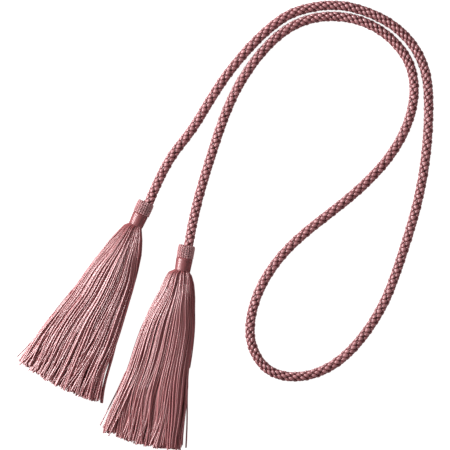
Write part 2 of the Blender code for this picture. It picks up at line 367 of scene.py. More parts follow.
@dataclass(frozen=True)
class YarnFinish:
    """A lustrous dyed yarn: two shades that its pieces vary between, also used for painted shade, and what
    its surface shows.

    Attributes:
        name: The material's name.
        deep: Linear colour of the darker-toned parts, and of the shade painted into hollows and grooves.
        light: Linear colour of the lighter-toned parts that stand out.
        roughness: How dull its shine is.
        gloss: How strong its shine is, as the shader's specular level.
        relief: How strongly its fine threads stand out, as a bump distance in metres.
    """

    name: str
    deep: Colour
    light: Colour
    roughness: float
    gloss: float
    relief: float

    SHINE_TINT = (1.0, 0.87, 0.88, 1.0)
    REFRACTION = 2.25

    def shades(self, nodes: NodeBuilder, share: Socket) -> Socket:
        """The colour between deep and light, by share."""
        feeds = {0: share, 6: (*self.deep, 1.0), 7: (*self.light, 1.0)}
        return nodes.add("ShaderNodeMix", feeds, data_type="RGBA").outputs[2]

    def dress(self, nodes: NodeBuilder, share: Socket, height: Socket) -> None:
        """Set the shader from a colour share and a bump height, both 0 to 1."""
        shader = nodes.tree.nodes["Principled BSDF"]
        shader.inputs["Roughness"].default_value = self.roughness
        shader.inputs["Specular IOR Level"].default_value = self.gloss
        shader.inputs["Specular Tint"].default_value = self.SHINE_TINT
        shader.inputs["IOR"].default_value = self.REFRACTION
        bump = nodes.add("ShaderNodeBump", {"Strength": 1.0, "Distance": self.relief, "Height": height})
        nodes.feed(shader.inputs["Base Color"], self.shades(nodes, share))
        nodes.feed(shader.inputs["Normal"], bump.outputs[0])

    def blank(self) -> tuple[bpy.types.Material, NodeBuilder]:
        """A new material of this name, and a builder for its nodes."""
        material = bpy.data.materials.new(self.name)
        material.use_nodes = True
        return material, NodeBuilder(material.node_tree)

    def attribute(self, nodes: NodeBuilder, name: str, output: str) -> Socket:
        """An attribute of the mesh, read in its material."""
        return nodes.add("ShaderNodeAttribute", attribute_name=name).outputs[output]


@dataclass(frozen=True)
class StitchFinish(YarnFinish):
    """The finish of raised stitches, with shade painted into the hollows between them.

    Attributes:
        threads: How many fine threads lie side by side in a stitch.
    """

    threads: int

    # How fast the painted shade deepens into the hollows, and how much of the colour a stitch's tone and
    # the painted shade between its threads take
    HOLLOW_SHADE_POWER = 1.1
    TONE_SHARE = 0.45
    THREAD_GROOVE_SHADE_SHARE = 0.25

    def material(self) -> bpy.types.Material:
        """Build the material."""
        material, nodes = self.blank()
        crown = self.attribute(nodes, "crown", "Fac")
        tone = self.attribute(nodes, "tone", "Fac")
        grain = self.attribute(nodes, "grain", "Fac")
        thread = nodes.math("SINE", nodes.product(grain, math.pi * self.threads))
        height = nodes.math("MULTIPLY_ADD", thread, 0.5, 0.5)
        # Painted shade: the colour sinks to the deep one where the stitch goes down into the hollows
        painted_hollow_shade = nodes.math("POWER", crown, self.HOLLOW_SHADE_POWER)
        varied = nodes.math("MULTIPLY_ADD", tone, self.TONE_SHARE, 1 - self.TONE_SHARE)
        # Painted shade in the grooves between the stitch's fine threads
        thread_groove_shade = nodes.math("MULTIPLY_ADD", height, self.THREAD_GROOVE_SHADE_SHARE, 1 - self.THREAD_GROOVE_SHADE_SHARE)
        share = nodes.product(painted_hollow_shade, varied, thread_groove_shade)
        self.dress(nodes, share, height)
        return material


@dataclass(frozen=True)
class PliedFinish(YarnFinish):
    """The finish of plied threads, with the turns of the ply as a slanted stripe of bump and of shade
    painted into the grooves between the plies.

    Attributes:
        plies: How many yarns are twisted together.
        ply_pitch: The length of one turn of the ply.
    """

    plies: int
    ply_pitch: float

    # How much of the colour the painted shade in the ply grooves takes
    PLY_SHADE_SHARE = 0.7

    def material(self) -> bpy.types.Material:
        """Build the material."""
        material, nodes = self.blank()
        across, over, along = nodes.separated(self.attribute(nodes, "strand", "Vector"))
        tone = self.attribute(nodes, "tone", "Fac")
        turn = nodes.product(nodes.math("ARCTAN2", over, across), float(self.plies))
        twist = nodes.product(along, 2 * math.pi * self.plies / self.ply_pitch)
        stripe = nodes.math("SINE", nodes.math("ADD", turn, twist))
        height = nodes.math("MULTIPLY_ADD", stripe, 0.5, 0.5)
        # Painted shade: the colour darkens in the grooves between the plies, where the bump sinks
        ply_groove_shade = nodes.math("MULTIPLY_ADD", height, self.PLY_SHADE_SHARE, 1 - self.PLY_SHADE_SHARE)
        share = nodes.product(tone, ply_groove_shade)
        self.dress(nodes, share, height)
        return material


CORD_YARN = StitchFinish(
    name="cord_yarn",
    deep=(0.145, 0.012, 0.016),
    light=(0.45, 0.168, 0.178),
    roughness=0.46,
    gloss=0.55,
    relief=0.00010,
    threads=5,
)
CAP_KNIT = StitchFinish(
    name="cap_knit",
    deep=(0.29, 0.045, 0.050),
    light=(0.86, 0.480, 0.495),
    roughness=0.48,
    gloss=0.75,
    relief=0.00014,
    threads=3,
)
NECK_SATIN = PliedFinish(
    name="neck_satin",
    deep=(0.25, 0.044, 0.050),
    light=(0.29, 0.064, 0.070),
    roughness=0.41,
    gloss=1.0,
    relief=0.00001,
    plies=2,
    ply_pitch=0.0012,
)
SKIRT_THREADS = PliedFinish(
    name="skirt_threads",
    deep=(0.26, 0.042, 0.047),
    light=(0.43, 0.122, 0.131),
    roughness=0.41,
    gloss=0.85,
    relief=0.00002,
    plies=2,
    ply_pitch=0.0032,
)


@dataclass(frozen=True)
class StitchShape:
    """One plump stitch, lying on a round body that it bends with.

    Attributes:
        length: Its long size.
        width: Its short size.
        lean_deg: The turn of its long size from the body's axis, towards the body's own turn.
        foot_radius: The radius of the body under it.
        crown_radius: The radius that its crown reaches.
        sides: Points round its outline.
    """

    length: float
    width: float
    lean_deg: float
    foot_radius: float
    crown_radius: float
    sides: int

    # How far out each ring of points lies and how high, as shares, and the height of its underside
    RINGS = ((0.36, 0.95), (0.68, 0.76), (0.92, 0.42), (1.0, 0.0))
    UNDERSIDE = -0.25

    def mesh(self, name: str, flat: bool) -> bpy.types.Mesh:
        """Build the stitch's closed mesh.

        Args:
            name: The mesh's name.
            flat: Whether it lies on the plane z = 0, or on a body whose axis is the frame's X.

        Returns:
            The mesh, with its crown and grain as attributes.
        """
        lean = math.radians(self.lean_deg)
        rise = self.crown_radius - self.foot_radius
        base = 0.0 if flat else self.foot_radius
        spots = [(0.0, 0.0, 1.0)]
        for share, height in self.RINGS:
            for k in range(self.sides):
                angle = 2 * math.pi * k / self.sides
                spots.append((share * math.cos(angle), share * math.sin(angle), height))
        spots.append((0.0, 0.0, self.UNDERSIDE))
        points = []
        for long_share, wide_share, height in spots:
            long_way = long_share * self.length / 2
            wide_way = wide_share * self.width / 2
            x = long_way * math.cos(lean) - wide_way * math.sin(lean)
            y = long_way * math.sin(lean) + wide_way * math.cos(lean)
            reach = base + rise * height
            if flat:
                points.append((x, y, reach))
            else:
                bend = y / self.crown_radius
                points.append((x, reach * math.sin(bend), reach * math.cos(bend)))
        mesh = bpy.data.meshes.new(name)
        mesh.from_pydata(points, [], self.faces())
        # The crown is how high up the stitch a point lies; the material paints shade into the low parts by
        # it
        crown = mesh.attributes.new("crown", "FLOAT", "POINT")
        crown.data.foreach_set("value", [max(0.0, height) for _, _, height in spots])
        grain = mesh.attributes.new("grain", "FLOAT", "POINT")
        grain.data.foreach_set("value", [wide_share for _, wide_share, _ in spots])
        return mesh

    def faces(self) -> list[tuple[int, ...]]:
        """The stitch's faces: a fan on its crown, bands down its sides and a fan below."""
        found: list[tuple[int, ...]] = []
        for k in range(self.sides):
            after = (k + 1) % self.sides
            found.append((0, 1 + k, 1 + after))
            for ring in range(len(self.RINGS) - 1):
                inner = 1 + ring * self.sides
                outer = inner + self.sides
                found.append((inner + k, outer + k, outer + after, inner + after))
            rim = 1 + (len(self.RINGS) - 1) * self.sides
            found.append((rim + k, 1 + len(self.RINGS) * self.sides, rim + after))
        return found


def helper_object(mesh: bpy.types.Mesh) -> bpy.types.Object:
    """An object that a tree copies, and that is removed again afterwards."""
    return bpy.data.objects.new(mesh.name, mesh)


def turned_points(outline: Sequence[tuple[float, float]], sides: int) -> list[tuple[float, float, float]]:
    """Rings of points round a head's axis, from each ring's radius and place up the head."""
    points = []
    for radius, up in outline:
        for k in range(sides):
            angle = 2 * math.pi * k / sides
            points.append((radius * math.cos(angle), up, HEAD_AXIS_HEIGHT + radius * math.sin(angle)))
    return points


def band(low: int, high: int, sides: int) -> list[tuple[int, ...]]:
    """The faces between two rings of points, from the number of each ring's first point."""
    faces = []
    for k in range(sides):
        after = (k + 1) % sides
        faces.append((low + k, high + k, high + after, low + after))
    return faces


def place_piece(
    name: str, mesh: bpy.types.Mesh, nodes: Sequence[str], place: Matrix | None = None
) -> bpy.types.Object:
    """Make a finished piece and tie it to the frame.

    Args:
        name: The piece's name.
        mesh: Its mesh.
        nodes: The solids that it stands for.
        place: The move from the mesh's own frame to the whole part's.

    Returns:
        The piece's object, at the origin and unturned.
    """
    if place is not None:
        mesh.transform(place)
    piece = in_scene(name, mesh)
    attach(piece, BODY)
    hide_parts(*nodes)
    log.info("%s: %d faces", name, len(mesh.polygons))
    return piece


class Side(Enum):
    """Which of the two tassels."""

    LEFT = "left"
    RIGHT = "right"


@dataclass(frozen=True)
class Section:
    """A skirt's section at a distance down from the neck's foot.

    Attributes:
        down: That distance.
        middle: How far its middle is to the right of the head's axis.
        half_width: Half its width.
        height: Its height above the surface, in the middle.
    """

    down: float
    middle: float
    half_width: float
    height: float


SLIM_SKIRT = (
    Section(0.0030, -0.0008, 0.0078, 0.0126),
    Section(0.0090, -0.0003, 0.0106, 0.0136),
    Section(0.0180, -0.0001, 0.0139, 0.0140),
    Section(0.0330, -0.0003, 0.0174, 0.0138),
    Section(0.0480, -0.0005, 0.0202, 0.0132),
    Section(0.0640, -0.0009, 0.0229, 0.0126),
    Section(0.0790, -0.0022, 0.0257, 0.0120),
    Section(0.0940, -0.0032, 0.0276, 0.0114),
    Section(0.1090, -0.0044, 0.0294, 0.0107),
    Section(0.1330, -0.0047, 0.0333, 0.0096),
)
FULL_SKIRT = (
    Section(0.0030, -0.0013, 0.0096, 0.0130),
    Section(0.0090, -0.0009, 0.0121, 0.0140),
    Section(0.0180, -0.0010, 0.0145, 0.0144),
    Section(0.0330, -0.0022, 0.0181, 0.0142),
    Section(0.0480, -0.0031, 0.0205, 0.0136),
    Section(0.0640, -0.0039, 0.0225, 0.0130),
    Section(0.0790, -0.0048, 0.0243, 0.0124),
    Section(0.0940, -0.0059, 0.0263, 0.0117),
    Section(0.1090, -0.0065, 0.0280, 0.0110),
    Section(0.1330, -0.0073, 0.0312, 0.0100),
)


@dataclass
class Cap:
    """The knitted cover over a tassel's head, in columns of slanted stitches that meet in pairs.

    Its radius reaches the stitches' crowns, and the shell under them starts a hem's height above the
    cover's foot. Its shoulder is the round edge round its flat top, and the collar stands up from that
    into the cord's end. The stitches lean left and right in turn and move towards each other by the
    pairing. Their length and width are shares of a row's height and a column's width, and their heights
    and tones vary in the ranges given.
    """

    radius: float = 0.00665
    height: float = 0.0111
    top_radius: float = 0.0042
    shoulder: float = 0.0022
    stitch_height: float = 0.0009
    hem: float = 0.0004
    collar_radius: float = 0.0020
    collar_height: float = 0.0012
    columns: int = 44
    side_rows: int = 6
    shoulder_rows: int = 2
    lean_deg: float = 31.0
    pairing: float = 0.00016
    leaf_length: float = 1.55
    leaf_width: float = 0.68
    leaf_sides: int = 7
    rises: tuple[float, float] = (0.85, 1.1)
    tones: tuple[float, float] = (0.35, 1.0)
    seed: int = 5

    def shell(self, foot: float) -> bpy.types.Mesh:
        """The cover's plain shell, one face for each stitch, with a collar inside the cord's end."""
        inner = self.radius - self.stitch_height
        side_top = foot + self.height - self.shoulder
        hem = foot + self.hem
        side = side_top - hem
        outline = [(inner, hem + side * row / self.side_rows) for row in range(self.side_rows + 1)]
        for row in range(1, self.shoulder_rows + 1):
            angle = math.pi / 2 * row / self.shoulder_rows
            outline.append(
                (
                    self.top_radius + (inner - self.top_radius) * math.cos(angle),
                    side_top + (self.shoulder - self.stitch_height) * math.sin(angle),
                )
            )
        knitted_rows = len(outline) - 1
        top = outline[-1][1]
        outline += [(self.collar_radius, top), (self.collar_radius, top + self.collar_height)]
        ways = [1.0 if k % 2 else -1.0 for k in range(self.columns)]
        plain = [0.0] * self.columns
        faces: list[tuple[int, ...]] = []
        lean: list[float] = []
        for row in range(len(outline) - 1):
            low = row * self.columns
            faces += band(low, low + self.columns, self.columns)
            lean += ways if row < knitted_rows - 1 else plain
        last = (len(outline) - 1) * self.columns
        faces.append(tuple(range(self.columns)))
        faces.append(tuple(last + k for k in reversed(range(self.columns))))
        lean += [0.0, 0.0]
        mesh = bpy.data.meshes.new("cap_shell")
        mesh.from_pydata(turned_points(outline, self.columns), [], faces)
        mesh.attributes.new("lean", "FLOAT", "FACE").data.foreach_set("value", lean)
        return mesh

    def recipe(self, stitch: bpy.types.Object, material: bpy.types.Material) -> GeometryRecipe:
        """The tree that sets a stitch on each face of the shell."""
        tree = GeometryRecipe("knit_cover")
        copied = tree.named("Stitch", "Object", stitch)
        lean_angle = tree.named("Lean", "Float", math.radians(self.lean_deg))
        pairing = tree.named("Pairing", "Float", self.pairing)
        full_radius = tree.named("Cover radius", "Float", self.radius)
        axis_height = tree.named("Axis height", "Float", HEAD_AXIS_HEIGHT)
        seed = tree.named("Seed", "Int", self.seed)
        cloth = tree.named("Material", "Material", material)
        normal = tree.add("GeometryNodeInputNormal").outputs[0]
        shell, outward, lean = tree.captured(
            tree.geometry, "FACE", outward=("VECTOR", normal), lean=("FLOAT", tree.attribute("lean"))
        )
        points = tree.add("GeometryNodeMeshToPoints", {"Mesh": shell}, mode="FACES").outputs[0]
        axis_point = tree.combined(0.0, tree.separated(tree.position())[1], axis_height)
        spoke = tree.vector("SUBTRACT", tree.position(), axis_point)
        around = tree.vector("CROSS_PRODUCT", (0.0, 1.0, 0.0), spoke)
        reach = tree.add("ShaderNodeVectorMath", {0: spoke}, operation="LENGTH").outputs["Value"]
        rotation = tree.facing(outward, around, tree.product(lean, lean_angle))
        narrowed = tree.math("DIVIDE", reach, full_radius)
        size = tree.combined(narrowed, 1.0, tree.random(*self.rises, seed, 1))
        aside = tree.scaled(tree.vector("NORMALIZE", around), tree.product(lean, pairing))
        points = tree.moved(points, tree.vector("ADD", tree.position(), aside))
        chosen = tree.math("GREATER_THAN", tree.math("ABSOLUTE", lean), 0.5)
        stitches = tree.stitched(points, copied, rotation, size, tree.random(*self.tones, seed, 2), chosen)
        # The shell carries no crown, so its material gives it the deep colour: painted shade in the gaps
        # between the stitches
        tree.finish(tree.above_surface(tree.joined(shell, stitches), 0.0), cloth)
        return tree

    def build(self, foot: float, material: bpy.types.Material) -> bpy.types.Mesh:
        """Build the cover.

        Args:
            foot: How far up the head its lower edge is.
            material: Its finish.

        Returns:
            Its mesh, in the tassel's frame.
        """
        row_height = (self.height - self.shoulder) / self.side_rows
        column_width = 2 * math.pi * self.radius / self.columns
        leaf = StitchShape(
            length=self.leaf_length * row_height,
            width=self.leaf_width * column_width,
            lean_deg=90.0,
            foot_radius=0.0,
            crown_radius=self.stitch_height,
            sides=self.leaf_sides,
        )
        stitch = helper_object(leaf.mesh("cap_stitch", flat=True))
        mesh = self.recipe(stitch, material).run(self.shell(foot))
        bpy.data.objects.remove(stitch)
        return mesh


@dataclass
class Neck:
    """The satin binding: fine thread wound round the root of the skirt.

    Its radius is that of its middle, and the taper is added at its top and taken off at its foot. The
    plain sleeve under the thread has a bore and is tucked into the cap.
    """

    radius: float
    length: float = 0.0092
    taper: float = 0.0002
    thread_radius: float = 0.00017
    bore_radius: float = 0.0049
    tucked_in: float = 0.0012
    windings: int = 29
    steps_a_turn: int = 36
    thread_sides: int = 5
    tone: float = 0.75
    tone_spread: float = 0.1
    seed: int = 2

    def sleeve(self) -> bpy.types.Mesh:
        """The plain sleeve under the windings, which reaches up into the cap."""
        sides = self.steps_a_turn
        foot = self.radius - self.taper - self.thread_radius
        top = self.radius + self.taper - self.thread_radius
        end = self.length + self.tucked_in
        inside = top - self.thread_radius
        outline = (
            (self.bore_radius, 0.0),
            (foot, 0.0),
            (top, self.length),
            (inside, self.length),
            (inside, end),
            (self.bore_radius, end),
        )
        faces = []
        for ring in range(len(outline)):
            faces += band(ring * sides, (ring + 1) % len(outline) * sides, sides)
        mesh = bpy.data.meshes.new("neck_sleeve")
        mesh.from_pydata(turned_points(outline, sides), [], faces)
        return mesh

    def build(self, material: bpy.types.Material) -> bpy.types.Mesh:
        """Build the binding with the given finish, in the tassel's frame."""
        tree = GeometryRecipe("neck_binding")
        windings = tree.named("Windings", "Float", float(self.windings))
        thread_radius = tree.named("Thread radius", "Float", self.thread_radius)
        top_radius = tree.named("Top radius", "Float", self.radius + self.taper - self.thread_radius)
        foot_radius = tree.named("Foot radius", "Float", self.radius - self.taper - self.thread_radius)
        length = tree.named("Length", "Float", self.length - 2 * self.thread_radius)
        axis_height = tree.named("Axis height", "Float", HEAD_AXIS_HEIGHT)
        seed = tree.named("Seed", "Int", self.seed)
        satin = tree.named("Material", "Material", material)
        feeds = {0: self.steps_a_turn, 1: windings, 2: top_radius, 3: foot_radius, 4: length}
        spiral = tree.add("GeometryNodeCurveSpiral", feeds).outputs[0]
        where = tree.add("GeometryNodeSplineParameter").outputs["Length"]
        spiral, along = tree.captured(spiral, "POINT", along=("FLOAT", where))
        thread = tree.thread(spiral, thread_radius, along, self.thread_sides)
        tone = tree.math("MULTIPLY_ADD", tree.random(0.0, 1.0, seed, 1), self.tone_spread, self.tone)
        thread = tree.stored(thread, "tone", tone, "FLOAT", "POINT")
        x, y, z = tree.separated(tree.position())
        up = tree.math("SUBTRACT", tree.math("ADD", length, thread_radius), z)
        upright = tree.moved(thread, tree.combined(x, up, tree.math("ADD", y, axis_height)))
        tree.finish(tree.above_surface(tree.joined(tree.geometry, upright), 0.0), satin)
        return tree.run(self.sleeve())


@dataclass(frozen=True)
class Stray:
    """A thread that lies apart from the skirt.

    Attributes:
        route: Its places across and down, from where it leaves the skirt to its end.
        start_height: How far above the surface it starts.
        girth: Its thickness, against a plain thread's.
    """

    route: tuple[tuple[float, float], ...]
    start_height: float
    girth: float


SLIM_STRAYS = (
    Stray(
        ((0.0230, 0.0852), (0.0254, 0.0983), (0.0279, 0.1151), (0.0297, 0.1231), (0.0326, 0.1324)),
        start_height=0.004,
        girth=1.8,
    ),
    Stray(
        ((0.0222, 0.1000), (0.0248, 0.1145), (0.0272, 0.1218), (0.0319, 0.1331)),
        start_height=0.004,
        girth=1.7,
    ),
    Stray(
        ((0.0215, 0.1040), (0.0254, 0.1201), (0.0271, 0.1276), (0.0285, 0.1345)),
        start_height=0.003,
        girth=1.2,
    ),
    Stray(
        ((-0.0290, 0.0880), (-0.0338, 0.1065), (-0.0367, 0.1175), (-0.0405, 0.1278)),
        start_height=0.003,
        girth=1.0,
    ),
    Stray(
        ((-0.0160, 0.0340), (-0.0194, 0.0464), (-0.0219, 0.0567), (-0.0240, 0.0673), (-0.0255, 0.0759)),
        start_height=0.007,
        girth=0.9,
    ),
    Stray(
        ((-0.0235, 0.0640), (-0.0273, 0.0784), (-0.0292, 0.0864), (-0.0311, 0.0941), (-0.0330, 0.1050)),
        start_height=0.005,
        girth=0.9,
    ),
)
FULL_STRAYS = (
    Stray(
        ((-0.0290, 0.0830), (-0.0330, 0.0993), (-0.0354, 0.1074), (-0.0382, 0.1168), (-0.0412, 0.1270)),
        start_height=0.004,
        girth=0.9,
    ),
    Stray(
        ((-0.0285, 0.0880), (-0.0321, 0.1020), (-0.0345, 0.1098), (-0.0363, 0.1192), (-0.0389, 0.1287)),
        start_height=0.004,
        girth=1.0,
    ),
    Stray(
        ((0.0192, 0.0860), (0.0205, 0.0948), (0.0223, 0.1053), (0.0242, 0.1173), (0.0262, 0.1326)),
        start_height=0.004,
        girth=1.3,
    ),
    Stray(
        ((0.0146, 0.0290), (0.0164, 0.0392), (0.0175, 0.0500), (0.0181, 0.0600), (0.0183, 0.0720)),
        start_height=0.007,
        girth=1.1,
    ),
)


@dataclass
class GuideLine:
    """The line down the middle of a lock, or along one thread that runs by itself.

    Attributes:
        threads: How many threads follow it.
        tone: How light they are, 0 to 1.
        girth: Their thickness, against a plain thread's.
        points: Its points.
        downs: How far down the skirt each point is.
        rooms: How far the threads reach from each point.
    """

    threads: int
    tone: float
    girth: float
    points: list[tuple[float, float, float]] = field(default_factory=list)
    downs: list[float] = field(default_factory=list)
    rooms: list[tuple[float, float, float]] = field(default_factory=list)

    def extend(self, point: tuple[float, float, float], down: float, width: float, height: float) -> None:
        """Add a point, and how far the threads reach to its sides and up and down."""
        self.points.append(point)
        self.downs.append(down)
        self.rooms.append((width, 0.0, height))


@dataclass
class Skirt:
    """The skirt of cut threads, which leave the neck in locks and spread apart towards the cut.

    Places across it run from -1 at its left edge to 1 at its right, and levels from 0 to 1. What scatters
    or splays is given as a standard deviation.

    Attributes:
        sections: Its sections, from the neck down.
        seed: The seed of what varies.
        strays: The threads that lie apart from it.
        length: Its length in the middle, from the neck's foot to the cut.
        cut_crown: How much shorter it is cut at its edges.
        cut_slant: How much longer it is cut at its right edge.
        cut_uneven: How far the cut of a lock differs.
        thread_uneven: How far the cut of a thread differs from its lock's.
        hidden_root: How far the threads reach up into the neck.
        root_radius: The radius of the whole bundle in the neck.
        round_until: How far down the section stays round.
        flat_by: How far down the section is quite flat.
        edge_thickness: A flat section's height at its edges, against its middle's.
        squareness: What the power of the section's outline gains on the way to the cut.
        wave: How far the threads wave aside at the cut.
        wave_length: The length of a wave.
        wave_lag: How much of a wave, as an angle, lies between the middle and an edge.
        lock_columns: Locks in the lowest row.
        threads_in_rows: Threads in a lock, for each row from below.
        lock_scatter: How far a lock's place differs, in half columns and half rows.
        tip_scatter: How far its tip strays to the side and in height, in the same.
        lock_splay: How far the tips of the topmost locks bend aside.
        splay_power: How late on the way they do so.
        gathers: Range of how narrow a lock gets on its way.
        gathered_until: How much of the way it is narrow on.
        root_room: A lock's width at its root, in columns.
        tip_rooms: Range of its width at its tip, in columns.
        low_tip_room: The least such width in the lowest row.
        tip_room_loss: How much this least width loses with each row.
        level_margin: How near to the section's top and bottom a lock's middle comes.
        lower_girth: How much thicker the threads of the lowest row are.
        top_threads: How many single threads lie over the locks.
        top_reach: How far across they start.
        top_limit: How far across they may go.
        top_splay: How far their tips bend aside.
        top_root_level: Their level at the root.
        top_risen_by: How much of their way they come to their own level on.
        top_levels: Range of their own levels.
        top_tones: Range of how light they are, kept lighter than the locks' as painted light.
        top_girths: Range of their thickness.
        fall_share: How much of its way a loose thread comes down on.
        steps: Steps in a guide line.
        step_growth: How fast the steps grow longer on the way down.
        root_thread_radius: A thread's radius at its root.
        tip_thread_radius: A thread's radius at its tip.
        thread_sides: Points round a thread.
        finenesses: Range of the threads' thickness.
        thread_tone_share: How much of a thread's tone is its own and not its lock's.
        flare: How far aside the most bent threads of a lock end.
        flare_power: How few of its threads bend far.
        meander: How far the threads wander on their way.
        wander_ways: How much of that goes to the side, along and up.
        wander_rate: How often the wandering turns in a metre.
    """

    sections: tuple[Section, ...]
    seed: int
    strays: tuple[Stray, ...] = ()
    length: float = 0.1340
    cut_crown: float = 0.0036
    cut_slant: float = 0.0020
    cut_uneven: float = 0.0014
    thread_uneven: float = 0.0010
    hidden_root: float = 0.0020
    root_radius: float = 0.0045
    round_until: float = 0.009
    flat_by: float = 0.045
    edge_thickness: float = 0.38
    squareness: float = 2.0
    wave: float = 0.0008
    wave_length: float = 0.062
    wave_lag: float = 2.6
    lock_columns: int = 32
    threads_in_rows: tuple[int, ...] = (3, 4, 4, 5)
    lock_scatter: float = 0.35
    tip_scatter: tuple[float, float] = (1.5, 0.8)
    lock_splay: float = 0.06
    splay_power: int = 4
    gathers: tuple[float, float] = (0.7, 1.0)
    gathered_until: float = 0.7
    root_room: float = 1.1
    tip_rooms: tuple[float, float] = (0.7, 1.7)
    low_tip_room: float = 1.5
    tip_room_loss: float = 0.25
    level_margin: float = 0.06
    lower_girth: float = 0.3
    top_threads: int = 95
    top_reach: float = 0.93
    top_limit: float = 0.97
    top_splay: float = 0.15
    top_root_level: float = 0.9
    top_risen_by: float = 0.25
    top_levels: tuple[float, float] = (0.96, 1.06)
    top_tones: tuple[float, float] = (0.5, 1.0)
    top_girths: tuple[float, float] = (0.85, 1.3)
    fall_share: float = 0.6
    steps: int = 28
    step_growth: float = 1.5
    root_thread_radius: float = 0.00034
    tip_thread_radius: float = 0.00050
    thread_sides: int = 4
    finenesses: tuple[float, float] = (0.75, 1.25)
    thread_tone_share: float = 0.65
    flare: float = 0.0030
    flare_power: float = 3.0
    meander: float = 0.0006
    wander_ways: tuple[float, float, float] = (1.0, 0.0, 0.6)
    wander_rate: float = 28.0

    # Sets the threads far apart in the noise that they wander by
    NOISE_SPREAD = 83.0
    # More than 1 over the room of any lock, so that the product tells locks from loose threads
    ROOM_TEST = 10000.0

    def section_at(self, down: float) -> tuple[float, float, float, float]:
        """Middle, half width, lowest point and height of the section at a distance down."""
        places = [section.down for section in self.sections]
        middle = float(np.interp(down, places, [section.middle for section in self.sections]))
        half_width = float(np.interp(down, places, [section.half_width for section in self.sections]))
        height = float(np.interp(down, places, [section.height for section in self.sections]))
        first = self.sections[0].down
        share = math.sqrt(min(1.0, max(0.0, down / first)))
        tall = self.root_radius + (height / 2 - self.root_radius) * share
        wide = self.root_radius + (half_width - self.root_radius) * share
        centre = HEAD_AXIS_HEIGHT + (height / 2 - HEAD_AXIS_HEIGHT) * share
        return middle * share, wide, max(0.0, centre - tall), 2 * tall

    def point(self, down: float, across: float, level: float) -> tuple[float, float, float]:
        """A point of the skirt.

        Args:
            down: Its distance down from the neck's foot.
            across: Its place across the section, -1 to 1.
            level: Its place up the section, 0 to 1.

        Returns:
            The point, in the tassel's frame.
        """
        middle, half_width, lowest, height = self.section_at(down)
        rise = 2 * level - 1
        round_x = across * math.sqrt(1 - rise * rise / 2)
        round_z = 0.5 + 0.5 * rise * math.sqrt(1 - across * across / 2)
        power = 2 + self.squareness * smooth_step(down / self.length)
        crown = max(0.0, 1 - abs(across) ** power) ** (1 / power)
        arch = self.edge_thickness + (1 - self.edge_thickness) * crown
        spread = smooth_step((down - self.round_until) / (self.flat_by - self.round_until))
        x = middle + half_width * (round_x + (across - round_x) * spread)
        z = lowest + height * (round_z + (level * arch - round_z) * spread)
        wave = math.sin(2 * math.pi * down / self.wave_length + self.wave_lag * across + self.seed)
        x += self.wave * wave * smooth_step(down / self.length)
        return x, -down, z

    def cut_at(self, across: float, random: np.random.Generator) -> float:
        """How far down a line that starts at a place across the skirt is cut."""
        uneven = random.uniform(-self.cut_uneven, self.cut_uneven)
        return self.length + self.cut_slant * across - self.cut_crown * across * across + uneven

    def steps_down(self, cut: float) -> Iterator[tuple[float, float]]:
        """The steps of a line to its cut: the share of the way, and how far down that is."""
        for step in range(self.steps + 1):
            share = (step / self.steps) ** self.step_growth
            yield share, -self.hidden_root + (cut + self.hidden_root) * share

    def lock(self, row: int, column: int, random: np.random.Generator) -> GuideLine:
        """One lock of threads, at a row from below and a column from the left."""
        rows = len(self.threads_in_rows)
        half_column = 1 / self.lock_columns
        half_row = 0.5 / rows
        across = -1 + (2 * column + 1 + row % 2) * half_column
        across += random.normal(0.0, self.lock_scatter) * half_column
        level = (row + 0.5) / rows + random.normal(0.0, self.lock_scatter) * half_row
        tip_across = across + random.normal(0.0, self.tip_scatter[0]) * half_column
        tip_level = level + random.normal(0.0, self.tip_scatter[1]) * half_row
        splay = random.normal(0.0, self.lock_splay) * row / (rows - 1)
        gather = random.uniform(*self.gathers)
        tip_room = max(random.uniform(*self.tip_rooms), self.low_tip_room - self.tip_room_loss * row)
        tone = random.uniform(0.0, 1.0)
        cut = self.cut_at(across, random)
        girth = 1 + self.lower_girth * (1 - row / (rows - 1))
        line = GuideLine(self.threads_in_rows[row], tone, girth)
        for share, down in self.steps_down(cut):
            drift = smooth_step(share)
            _, half_width, _, height = self.section_at(down)
            pinch = 1 + (gather - 1) * math.sin(math.pi * min(1.0, share / self.gathered_until))
            wide = half_column * (self.root_room + (tip_room - self.root_room) * share) * pinch
            reach = 1 - wide - self.tip_thread_radius / half_width
            here = across + (tip_across - across) * drift + splay * share**self.splay_power
            here = min(max(here, -reach), reach)
            high = level + (tip_level - level) * drift
            high = min(max(high, self.level_margin), 1 - self.level_margin)
            line.extend(self.point(down, here, high), down, half_width * wide, height * half_row * pinch)
        return line

    def top_thread(self, random: np.random.Generator) -> GuideLine:
        """One thread that lies over the locks and catches the light, and is painted lighter than the locks
        as well.
        """
        across = random.uniform(-self.top_reach, self.top_reach)
        splay = random.normal(0.0, self.top_splay)
        level = random.uniform(*self.top_levels)
        cut = self.cut_at(across, random)
        # Painted light: the threads on top take lighter tones than the locks below them
        tone = random.uniform(*self.top_tones)
        line = GuideLine(1, tone, random.uniform(*self.top_girths))
        for share, down in self.steps_down(cut):
            here = across + splay * share**self.splay_power
            here = min(max(here, -self.top_limit), self.top_limit)
            risen = smooth_step(share / self.top_risen_by)
            high = self.top_root_level + (level - self.top_root_level) * risen
            line.extend(self.point(down, here, high), down, self.tip_thread_radius, self.tip_thread_radius)
        return line

    def loose_thread(self, stray: Stray) -> GuideLine:
        """One thread that comes down beside the skirt and lies on the surface."""
        places = natural_spline(stray.route, self.length / self.steps)
        line = GuideLine(1, 0.0, stray.girth)
        for i, (x, down) in enumerate(places):
            fallen = smooth_step(i / (len(places) - 1) / self.fall_share)
            height = self.tip_thread_radius + stray.start_height * (1 - fallen)
            line.extend((float(x), -float(down), height), float(down), 0.0, 0.0)
        return line

